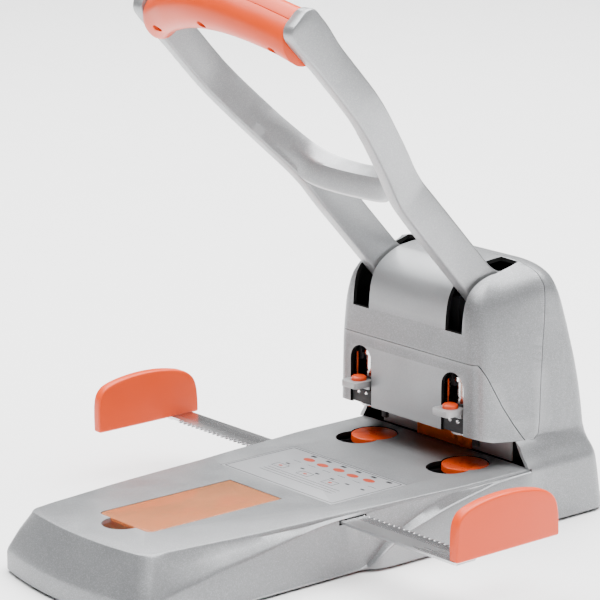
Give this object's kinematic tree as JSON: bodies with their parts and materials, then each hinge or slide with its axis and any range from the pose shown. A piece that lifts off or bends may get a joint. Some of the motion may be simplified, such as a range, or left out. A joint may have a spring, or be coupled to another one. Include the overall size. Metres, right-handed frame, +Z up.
{
  "type": "two-hole paper punch",
  "caption": "Heavy-duty two-hole paper punch with a long lever, exchangeable punch cartridges, geared side stops and a disc compartment.",
  "frame": {"origin": "on the table, under the middle of the bounding box", "axes": "+X to the user's right across the paper, +Y to the back where the lever is hinged, +Z up"},
  "size_m": [0.3238, 0.348, 0.3306],
  "materials": {
    "silver_plastic": "silver metallic paint on moulded plastic",
    "black_plastic": "matte",
    "foot_rubber": "matte",
    "label_film": "satin printed film",
    "orange_plastic": "satin",
    "orange_disc": "satin",
    "orange_clear": "translucent",
    "ruler_steel": "satin",
    "dark_steel": "phosphated",
    "bright_steel": "polished",
    "spring_steel": "oiled",
    "bush_brass": "satin",
    "cast_aluminium": "fine blasted casting"
  },
  "bodies": {
    "frame": {"base_shell": "silver_plastic", "bottom_cover": "black_plastic", "foot_front_left": "foot_rubber", "foot_front_right": "foot_rubber", "foot_back_left": "foot_rubber", "foot_back_right": "foot_rubber", "label_plate": "label_film", "die_block": "dark_steel", "base_frame": "dark_steel", "spare_disc_tray": "black_plastic", "spare_disc_1": "orange_disc", "spare_disc_2": "orange_disc", "spare_disc_3": "orange_disc", "ruler_bed": "dark_steel", "pinion_pin": "bright_steel", "upper_cover": "silver_plastic", "lower_cover": "silver_plastic", "rear_housing": "silver_plastic", "crosshead": "dark_steel", "back_plate": "cast_aluminium", "pivot_shaft": "bright_steel", "frame_side_left": "dark_steel", "frame_side_right": "dark_steel", "pivot_bush_left": "bush_brass", "pivot_bush_right": "bush_brass", "shaft_clip_left": "bright_steel", "shaft_clip_right": "bright_steel", "guide_column_left": "bright_steel", "guide_column_right": "bright_steel", "return_spring_left": "spring_steel", "return_spring_right": "spring_steel"},
    "lever": {"lever": "cast_aluminium", "grip_front": "orange_plastic", "grip_back": "orange_plastic", "grip_screw_1": "bright_steel", "grip_screw_2": "bright_steel", "grip_screw_3": "bright_steel", "drive_shaft": "bright_steel", "drive_roller_left": "bright_steel", "drive_roller_right": "bright_steel"},
    "press_bar": {"press_bar": "dark_steel"},
    "stop_pinion": {"stop_pinion": "black_plastic"},
    "compartment_lid": {"compartment_lid": "orange_clear"},
    "depth_gauge": {"depth_gauge": "orange_clear"},
    "cartridge_left": {"cartridge_body_left": "black_plastic", "punch_guide_left": "bright_steel", "latch_tab_left": "cast_aluminium"},
    "pin_left": {"punch_pin_left": "bright_steel"},
    "button_left": {"release_button_left": "orange_plastic"},
    "stop_left": {"ruler_left": "ruler_steel", "side_stop_left": "orange_plastic"},
    "disc_left": {"cutting_disc_left": "orange_disc"},
    "cartridge_right": {"cartridge_body_right": "black_plastic", "punch_guide_right": "bright_steel", "latch_tab_right": "cast_aluminium"},
    "pin_right": {"punch_pin_right": "bright_steel"},
    "button_right": {"release_button_right": "orange_plastic"},
    "stop_right": {"ruler_right": "ruler_steel", "side_stop_right": "orange_plastic"},
    "disc_right": {"cutting_disc_right": "orange_disc"}
  },
  "joints": [
    {"name": "lever_hinge", "type": "hinge", "parent": "frame", "child": "lever", "pos_m": [0, 0.122, 0.1345], "axis": [1, 0, 0], "range_deg": [0, 36], "stiffness_Nm_per_rad": 2.5, "springref_deg": -34.38},
    {"name": "press_slide", "type": "slide", "parent": "frame", "child": "press_bar", "axis": [0, 0, -1], "range_m": [0, 0.0189], "deforming": ["return_spring_left", "return_spring_right"]},
    {"name": "cartridge_left_slide", "type": "slide", "parent": "frame", "child": "cartridge_left", "axis": [0, -1, 0], "range_m": [0, 0.045]},
    {"name": "pin_left_slide", "type": "slide", "parent": "cartridge_left", "child": "pin_left", "axis": [0, 0, -1], "range_m": [0, 0.0189]},
    {"name": "button_left_slide", "type": "slide", "parent": "cartridge_left", "child": "button_left", "axis": [0, 0, -1], "range_m": [0, 0.0014], "stiffness_N_per_m": 600, "springref_m": -0.0005},
    {"name": "cartridge_right_slide", "type": "slide", "parent": "frame", "child": "cartridge_right", "axis": [0, -1, 0], "range_m": [0, 0.045]},
    {"name": "pin_right_slide", "type": "slide", "parent": "cartridge_right", "child": "pin_right", "axis": [0, 0, -1], "range_m": [0, 0.0189]},
    {"name": "button_right_slide", "type": "slide", "parent": "cartridge_right", "child": "button_right", "axis": [0, 0, -1], "range_m": [0, 0.0014], "stiffness_N_per_m": 600, "springref_m": -0.0005},
    {"name": "stop_left_slide", "type": "slide", "parent": "frame", "child": "stop_left", "axis": [1, 0, 0], "range_m": [-0.003, 0.06]},
    {"name": "stop_right_slide", "type": "slide", "parent": "frame", "child": "stop_right", "axis": [-1, 0, 0], "range_m": [-0.003, 0.06]},
    {"name": "pinion_spin", "type": "hinge", "parent": "frame", "child": "stop_pinion", "pos_m": [0, 0.003, 0.0325], "axis": [0, 0, 1], "range_deg": [-190, 10]},
    {"name": "lid_hinge", "type": "hinge", "parent": "frame", "child": "compartment_lid", "pos_m": [0, -0.0389, 0.0355], "axis": [-1, 0, 0], "range_deg": [0, 100]},
    {"name": "disc_left_turn", "type": "hinge", "parent": "frame", "child": "disc_left", "pos_m": [-0.04, 0.088, 0.0365], "axis": [0, 0, 1], "continuous": true},
    {"name": "disc_right_turn", "type": "hinge", "parent": "frame", "child": "disc_right", "pos_m": [0.04, 0.088, 0.0365], "axis": [0, 0, 1], "continuous": true},
    {"name": "depth_gauge_slide", "type": "slide", "parent": "frame", "child": "depth_gauge", "axis": [0, -1, 0], "range_m": [0, 0.008]}
  ],
  "couplings": [
    {"joint": "press_slide", "follows": "lever_hinge", "m_per_rad": 0.030078},
    {"joint": "pin_left_slide", "follows": "lever_hinge", "m_per_rad": 0.030078},
    {"joint": "pin_right_slide", "follows": "lever_hinge", "m_per_rad": 0.030078},
    {"joint": "stop_right_slide", "follows": "stop_left_slide", "ratio": 1},
    {"joint": "pinion_spin", "follows": "stop_left_slide", "rad_per_m": -54.946}
  ]
}
